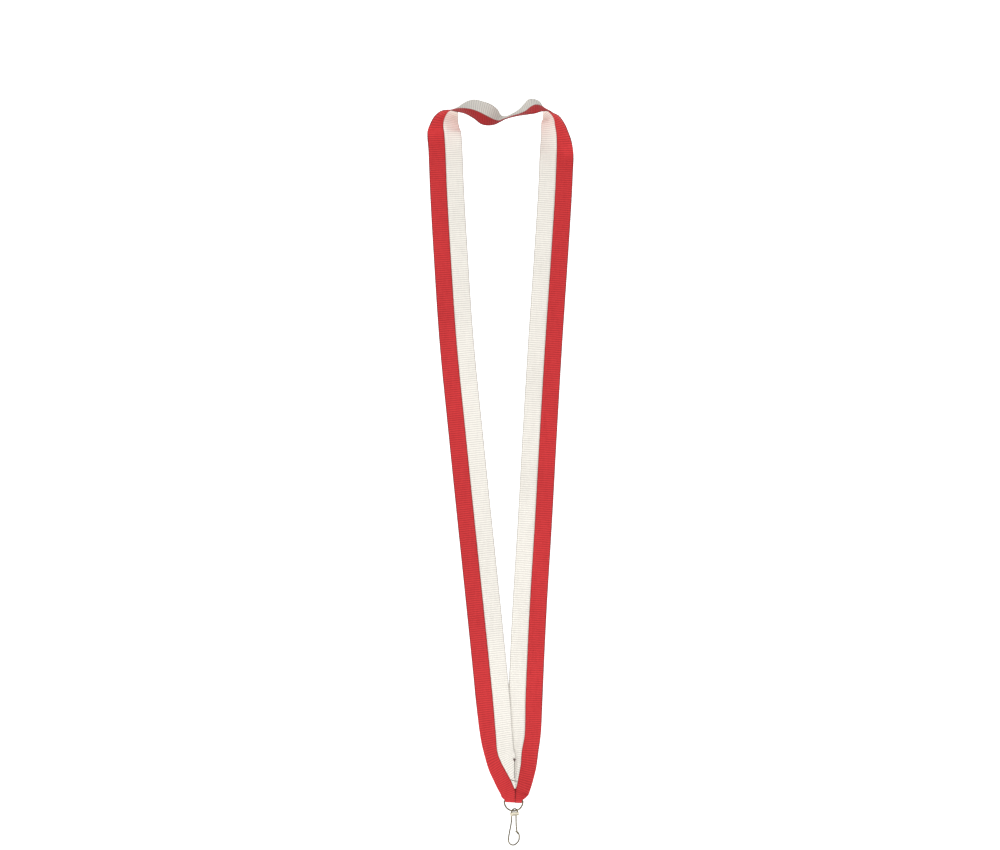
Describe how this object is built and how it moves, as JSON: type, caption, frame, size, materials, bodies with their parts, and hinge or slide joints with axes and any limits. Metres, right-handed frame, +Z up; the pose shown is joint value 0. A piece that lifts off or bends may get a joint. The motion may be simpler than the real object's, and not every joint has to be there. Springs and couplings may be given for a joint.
{
  "type": "medal neck ribbon",
  "caption": "Two-colour woven neck ribbon joined in a mitred point, with a D ring in the folded point and a snap clip of bent wire hanging from it.",
  "frame": {"origin": "middle of the ribbon behind the neck, where the back of the neck carries it", "axes": "+Z up, -Y the side that faces away from the wearer, +X to the right in that view"},
  "size_m": [0.0949, 0.0426, 0.4822],
  "materials": {
    "ribbon_red": "ribbed woven ribbon, slight sheen",
    "ribbon_white": "ribbed woven ribbon, slight sheen",
    "thread": "spun sewing thread",
    "brass_wire": "bright plated wire"
  },
  "bodies": {
    "ribbon": {"neck_band_red": "ribbon_red", "neck_band_white": "ribbon_white", "left_strap_red": "ribbon_red", "left_strap_white": "ribbon_white", "right_strap_red": "ribbon_red", "right_strap_white": "ribbon_white", "ring_fold": "ribbon_red", "seam_thread": "thread", "seam_knot": "thread", "front_tack": "thread", "flap_tack": "thread"},
    "ring": {"d_ring": "brass_wire"},
    "clip": {"hook_wire": "brass_wire", "crimp_collar": "brass_wire"},
    "gate": {"spring_gate": "brass_wire"}
  },
  "joints": [
    {"name": "ring_swing", "type": "hinge", "parent": "ribbon", "child": "ring", "pos_m": [0.0084, -0.02895, -0.4356], "axis": [1, 0, 0], "range_deg": [-60, 60]},
    {"name": "clip_slide", "type": "hinge", "parent": "ring", "child": "clip", "pos_m": [0.0084, -0.02895, -0.4364], "axis": [0, 1, 0], "range_deg": [-45, 45]},
    {"name": "gate_flex", "type": "hinge", "parent": "clip", "child": "gate", "pos_m": [0.01001, -0.02822, -0.44495], "axis": [-0.5878, 0.809, 0], "range_deg": [0, 18], "stiffness_Nm_per_rad": 0.02}
  ]
}
